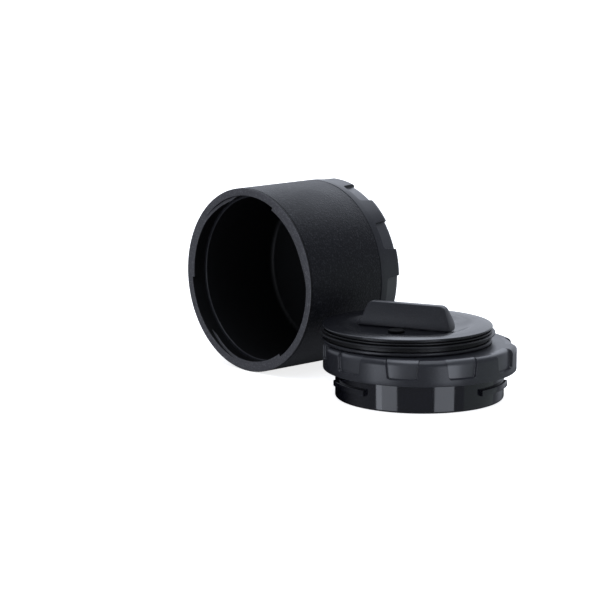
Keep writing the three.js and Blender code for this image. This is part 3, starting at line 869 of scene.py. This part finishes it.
def makePlungerPlate():
    plate = {
        "radius": 0.0426, "edge": 0.0013, "round": 0.0006, "underRound": 0.0002,
        "crown": 0.0374, "crownFall": 0.0004, "crownRound": 0.025,  # the rim falls from its crown to its edge
        "dish": 0.0262, "slope": 0.0065, "slopeTop": 0.01, "slopeFoot": 0.016,
        "snapOuter": 0.0341, "snapInner": 0.0327, "snapFoot": 0.002, "step": 0.0363,
        "stemHole": 0.0015, "vent": 0.0008, "ventCircle": 0.0026, "ventCount": 4,
    }
    top = plunger["height"]
    under = plunger["plateUnder"]
    piece = turnPiece("plunger_plate_dished", [
        (0, under),
        (plate["snapInner"], under),
        (plate["snapInner"], plate["snapFoot"]),
        (plate["snapOuter"], plate["snapFoot"]),
        (plate["snapOuter"], under),
        (plate["step"], under),
        (plate["step"], top - plate["edge"]),
        (plate["radius"], top - plate["edge"], plate["underRound"], 2),
        (plate["radius"], top - plate["crownFall"], plate["round"], 8),
        (plate["crown"], top, plate["crownRound"], 10),
        (plate["dish"] + plate["slope"], top, plate["slopeTop"], 8),
        (plate["dish"], plunger["dishFloor"], plate["slopeFoot"], 10),
        (0, plunger["dishFloor"]),
    ], closed=False)
    for x in lugPlaces:
        combine(piece, makeHingeLug(x), "UNION")
    low = under - shared["cutOver"]
    high = plunger["dishFloor"] + shared["cutOver"]
    valve = (0, -plunger["valveFront"])
    combine(piece, rodsOnCircle(plate["stemHole"], 0, 1, low, high, valve), "DIFFERENCE")
    vents = rodsOnCircle(plate["vent"], plate["ventCircle"], plate["ventCount"], low, high, valve)
    combine(piece, vents, "DIFFERENCE")
    combine(piece, pinBore(), "DIFFERENCE")
    finishPiece(setPlunger(piece), "plunger", "plunger_plate", finishes["dish"])


def makeWiperSeal():
    seal = {"inner": 0.0366, "foot": 0.002, "top": 0.0072, "root": 0.041, "flare": 0.0003,
            "lip": 0.0439, "lipFoot": 0.0042, "lipTop": 0.005,
            "rib": 0.0425, "ribFoot": 0.0057, "ribTop": 0.0064,
            "edge": 0.00025, "lowerRoot": 0.0003, "middleRoot": 0.00005, "upperRoot": 0.0001}
    piece = turnPiece("wiper_seal_ribbed", [
        (seal["inner"], seal["foot"]),
        (seal["root"], seal["foot"]),
        (seal["root"], seal["lipFoot"] - seal["flare"], seal["lowerRoot"], 3),
        (seal["lip"], seal["lipFoot"], seal["edge"], 4),
        (seal["lip"], seal["lipTop"], seal["edge"], 4),
        (seal["root"], seal["lipTop"] + seal["flare"], seal["middleRoot"], 2),
        (seal["root"], seal["ribFoot"] - seal["flare"], seal["middleRoot"], 2),
        (seal["rib"], seal["ribFoot"], seal["edge"], 4),
        (seal["rib"], seal["ribTop"], seal["edge"], 4),
        (seal["root"], seal["ribTop"] + seal["flare"], seal["upperRoot"], 2),
        (seal["root"], seal["top"]),
        (seal["inner"], seal["top"]),
    ])
    finishPiece(setPlunger(piece), "plunger", "wiper_seal", finishes["rubber"])


def makePlungerBase():
    base = {"radius": 0.0424, "edge": 0.0017, "thickness": 0.0016, "footRound": 0.0006, "topRound": 0.0004,
            "clampOuter": 0.0363, "clampInner": 0.0344, "clampTop": 0.0046,
            "inlet": 0.0015, "inletCircle": 0.006, "inletCount": 5}
    piece = turnPiece("plunger_base_moulded", [
        (0, 0),
        (base["radius"], 0, base["footRound"], 5),
        (base["radius"], base["edge"], base["topRound"], 4),
        (base["clampOuter"], base["edge"]),
        (base["clampOuter"], base["clampTop"]),
        (base["clampInner"], base["clampTop"]),
        (base["clampInner"], base["thickness"]),
        (0, base["thickness"]),
    ], closed=False)
    inlets = rodsOnCircle(base["inlet"], base["inletCircle"], base["inletCount"],
                          -base["thickness"], 2 * base["thickness"], (0, -plunger["valveFront"]))
    combine(piece, inlets, "DIFFERENCE")
    finishPiece(setPlunger(piece), "plunger", "plunger_base", finishes["satin"])


grab = {
    "baseLength": 0.0498, "topLength": 0.0402, "front": 0.0047, "topThickness": 0.0043,
    "height": 0.0123, "foot": 0.0002, "corner": 0.0032, "cornerSteps": 12,
    "backShare": 0.995, "backSteps": 16,  # the round behind the foot takes nearly all of the back's depth
    "edge": 0.0006, "edgeAngle": 35,
}
grabFoot = plunger["dishFloor"] + grab["foot"]
grabTop = plunger["dishFloor"] + grab["height"]


def backOfFoot():
    # how far the foot reaches behind the pin: the back touches the round about the pin
    barrel = hingeAxis - grabFoot
    topHalf = grab["topThickness"] / 2
    rise = grabTop - hingeAxis
    lean = math.asin(barrel / math.hypot(topHalf, rise)) - math.atan2(topHalf, rise)
    return topHalf + (grabTop - grabFoot) * math.tan(lean)


def makeWedge(name, back):
    # cube whose corners are moved to the ends of the wedge
    topHalf = grab["topThickness"] / 2
    deselectAll()
    bpy.ops.mesh.primitive_cube_add(size=1, location=(0, 0, 0))
    piece = rename(bpy.context.object, name)
    for vertex in piece.data.vertices:
        up = vertex.co.z > 0
        length = grab["topLength"] if up else grab["baseLength"]
        front, rear = (topHalf, topHalf) if up else (grab["front"], back)
        y = rear if vertex.co.y > 0 else -front
        vertex.co = (math.copysign(length / 2, vertex.co.x), y, grabTop if up else grabFoot)
    return piece


def makePocket(x, back):
    # room for a hinge lug, open below and behind
    room = hinge["lugRound"] + shared["seat"]
    low, high = grabFoot - shared["cutOver"], hingeAxis + room
    near, far = -room, back + shared["cutOver"]
    pocket = addBlock((x, (near + far) / 2, (low + high) / 2),
                      (hinge["lugWidth"] + 2 * shared["seat"], far - near, high - low))
    roundEdges(pocket, lambda a, b: max(a.y, b.y) < 0 and min(a.z, b.z) > hingeAxis,
               room * hinge["roundShare"], hinge["roundSteps"])
    return pocket


def makeHandle():
    back = backOfFoot()
    piece = makeWedge("handle_wedge", back)
    endLean = math.atan2((grab["baseLength"] - grab["topLength"]) / 2, grabTop - grabFoot)
    cornerReach = grab["corner"] * math.tan(math.pi / 4 - endLean / 2)
    roundEdges(piece, lambda a, b: min(a.z, b.z) > hingeAxis and abs(a.x - b.x) < shared["tiny"],
               cornerReach, grab["cornerSteps"])
    roundEdges(piece, lambda a, b: min(a.y, b.y) > 0 and max(a.z, b.z) < hingeAxis,
               back * grab["backShare"], grab["backSteps"])
    bevelEdges(piece, grab["edge"], 4, grab["edgeAngle"])
    for x in lugPlaces:
        combine(piece, makePocket(x, back), "DIFFERENCE")
    combine(piece, pinBore(), "DIFFERENCE")
    finishPiece(setPlunger(piece), "handle", "handle", finishes["satin"])


def makeHingePin():
    rod = rodOnHinge(hinge["pinRadius"], hinge["pinStart"], hinge["pinEnd"], shared["smallSteps"])
    piece = rename(rod, "hinge_pin_drawn")
    bevelEdges(piece, hinge["pinEdge"], 3, hinge["pinAngle"])
    finishPiece(setPlunger(piece), "plunger", "hinge_pin", finishes["steel"])


def makeValve():
    valve = {"radius": 0.00415, "thickness": 0.001, "stem": 0.0012, "barb": 0.0019, "barbHeight": 0.0013,
             "travel": 0.0008, "tipRound": 0.0003, "barbRound": 0.0002, "capUnder": 0.00015,
             "capRound": 0.0005}
    seat = plunger["dishFloor"] + shared["seat"]
    barbTop = plunger["plateUnder"] - shared["seat"] - valve["travel"]
    piece = turnPiece("valve_umbrella_cap", [
        (0, barbTop - valve["barbHeight"]),
        (valve["stem"], barbTop - valve["barbHeight"], valve["tipRound"], 3),
        (valve["barb"], barbTop - valve["barbHeight"] / 2, valve["barbRound"], 3),
        (valve["barb"], barbTop),
        (valve["stem"], barbTop),
        (valve["stem"], seat),
        (valve["radius"], seat, valve["capUnder"], 2),
        (valve["radius"], seat + valve["thickness"], valve["capRound"], 6),
        (0, seat + valve["thickness"]),
    ], 2 * shared["smallSteps"], closed=False)
    place(piece, (0, -plunger["valveFront"], 0))
    # the darkened valve finish is painted shade
    finishPiece(setPlunger(piece), "valve", "valve_umbrella", finishes["valve"])


makePlungerPlate()
makeWiperSeal()
makePlungerBase()
makeHandle()
makeHingePin()
makeValve()
print("plunger made")


# floor, light and camera

stageLook = {
    "floorSize": 12, "floorDrop": 0.0001, "floorColour": (0.9, 0.9, 0.9), "floorRough": 0.9,
    "floorGlow": 0.80, "glowNear": 0.3, "glowFar": 1.2,
    "plainWhite": (1, 1, 1), "coolWhite": (0.84, 0.89, 1.0), "faintGreen": (0.80, 1.0, 0.86),
    "worldLight": 0.55, "roomLight": 0.3,
    "backdropWay": (-0.88, 0.46, 0.1), "backdropEdge": (0.2, 0.8),
    "backdropUp": (0.3, 0.2, 1.0), "backdropFoot": (-0.25, 0.05),
    "overTarget": (0, 0, 0.03),
    "uprightTarget": (0.05, 0, 0.05), "uprightReach": 1.15, "uprightHeight": -0.15,
    "cameraPlace": (0.82605, -0.8049, 0.24905), "cameraTilt": 79.8, "cameraTurn": 46.98,
    "lens": 137.24, "sensorWidth": 36, "clipStart": 0.01,
}


def makeFloor():
    deselectAll()
    bpy.ops.mesh.primitive_plane_add(size=stageLook["floorSize"], location=(0, 0, -stageLook["floorDrop"]))
    floor = bpy.context.object
    floor.name = "floor"
    floor.visible_glossy = False
    material = bpy.data.materials.new("paleFloor")
    material.use_nodes = True
    tree = material.node_tree
    shader = tree.nodes["Principled BSDF"]
    shader.inputs["Base Color"].default_value = (*stageLook["floorColour"], 1)
    shader.inputs["Roughness"].default_value = stageLook["floorRough"]
    shader.inputs["Specular IOR Level"].default_value = 0.0
    glow = addNode(tree, "ShaderNodeEmission")
    path = addNode(tree, "ShaderNodeLightPath")
    coords = addNode(tree, "ShaderNodeTexCoord")
    distance = addNode(tree, "ShaderNodeVectorMath", operation="LENGTH")
    fade = addRange(tree, distance.outputs["Value"], stageLook["glowNear"], stageLook["glowFar"])
    fade.inputs["To Min"].default_value = stageLook["floorGlow"]
    strength = addNode(tree, "ShaderNodeMath", operation="MULTIPLY")
    both = addNode(tree, "ShaderNodeAddShader")
    link = tree.links.new
    link(coords.outputs["Object"], distance.inputs[0])
    link(path.outputs["Is Camera Ray"], strength.inputs[0])
    link(fade.outputs[0], strength.inputs[1])
    link(strength.outputs[0], glow.inputs["Strength"])
    link(shader.outputs[0], both.inputs[0])
    link(glow.outputs[0], both.inputs[1])
    link(both.outputs[0], tree.nodes["Material Output"].inputs["Surface"])
    floor.data.materials.append(material)


def edgeFade(tree, coords, way, edge):
    # 1 for directions that lean along the way by more than the edge, 0 for the others, and soft between
    lean = addNode(tree, "ShaderNodeVectorMath", operation="DOT_PRODUCT")
    lean.inputs[1].default_value = way
    tree.links.new(coords.outputs["Generated"], lean.inputs[0])
    return addRange(tree, lean.outputs["Value"], *edge, interpolation_type="SMOOTHSTEP").outputs[0]


def makeWorld():
    # dim room with a white backdrop, which the camera sees all round and reflections see behind the object
    world = bpy.data.worlds.new("studio")
    bpy.context.scene.world = world
    world.use_nodes = True
    tree = world.node_tree
    link = tree.links.new
    coords = addNode(tree, "ShaderNodeTexCoord")
    behind = edgeFade(tree, coords, stageLook["backdropWay"], stageLook["backdropEdge"])
    above = edgeFade(tree, coords, stageLook["backdropUp"], stageLook["backdropFoot"])
    path = addNode(tree, "ShaderNodeLightPath")
    direct = addNode(tree, "ShaderNodeMath", operation="MAXIMUM")
    link(path.outputs["Is Camera Ray"], direct.inputs[0])
    link(path.outputs["Is Transmission Ray"], direct.inputs[1])
    mirrored = mixValues(tree, behind, stageLook["roomLight"], above)
    level = mixValues(tree, path.outputs["Is Glossy Ray"], stageLook["worldLight"], mirrored)
    tint = mixColours(tree, direct.outputs[0], stageLook["coolWhite"], stageLook["plainWhite"])
    background = tree.nodes["Background"]
    link(tint, background.inputs["Color"])
    link(mixValues(tree, direct.outputs[0], level, 1.0), background.inputs["Strength"])


def addSoftbox(name, spot, target, size, power, colour):
    lamp = bpy.data.lights.new(name, "AREA")
    lamp.shape = "RECTANGLE"
    lamp.size, lamp.size_y = size
    lamp.energy = power
    lamp.color = colour
    box = bpy.data.objects.new(name, lamp)
    bpy.context.scene.collection.objects.link(box)
    box.location = spot
    box.visible_camera = False
    box.rotation_euler = (Vector(spot) - Vector(target)).to_track_quat("Z", "Y").to_euler()


def makeLights():
    cool = stageLook["coolWhite"]
    # square boxes overhead: place, width, power
    overheads = {
        "overBack": ((-0.4, 0.7, 1.0), 1.3, 5),
        "overFront": ((0.2, -0.2, 1.2), 1.0, 6),
    }
    for name, (spot, width, power) in overheads.items():
        addSoftbox(name, spot, stageLook["overTarget"], (width, width), power, cool)
    # upright boxes that the skirt mirrors as bands: degrees from the camera's side, width, height, power
    # and colour
    uprights = {
        "leftBox": (-44, 0.44, 0.55, 1.7, cool),
        "leftStrip": (-59, 0.16, 0.55, 1.0, cool),
        "rightBox": (31, 0.54, 0.55, 2.3, cool),
        "sideFill": (88, 1.2, 0.8, 0.5, stageLook["faintGreen"]),
    }
    target = stageLook["uprightTarget"]
    reach = stageLook["uprightReach"]
    for name, (degrees, width, height, power, colour) in uprights.items():
        way = math.radians(stageLook["cameraTurn"] - 90 + degrees)
        spot = (target[0] + reach * math.cos(way), reach * math.sin(way), stageLook["uprightHeight"])
        addSoftbox(name, spot, target, (width, height), power, colour)


def makeCamera():
    data = bpy.data.cameras.new("camera")
    data.lens = stageLook["lens"]
    data.sensor_width = stageLook["sensorWidth"]
    data.clip_start = stageLook["clipStart"]
    camera = bpy.data.objects.new("camera", data)
    bpy.context.scene.collection.objects.link(camera)
    camera.location = stageLook["cameraPlace"]
    camera.rotation_euler = (math.radians(stageLook["cameraTilt"]), 0, math.radians(stageLook["cameraTurn"]))
    bpy.context.scene.camera = camera


makeFloor()
makeWorld()
makeLights()
makeCamera()
bpy.context.scene.view_settings.view_transform = "Standard"
print("stage made")
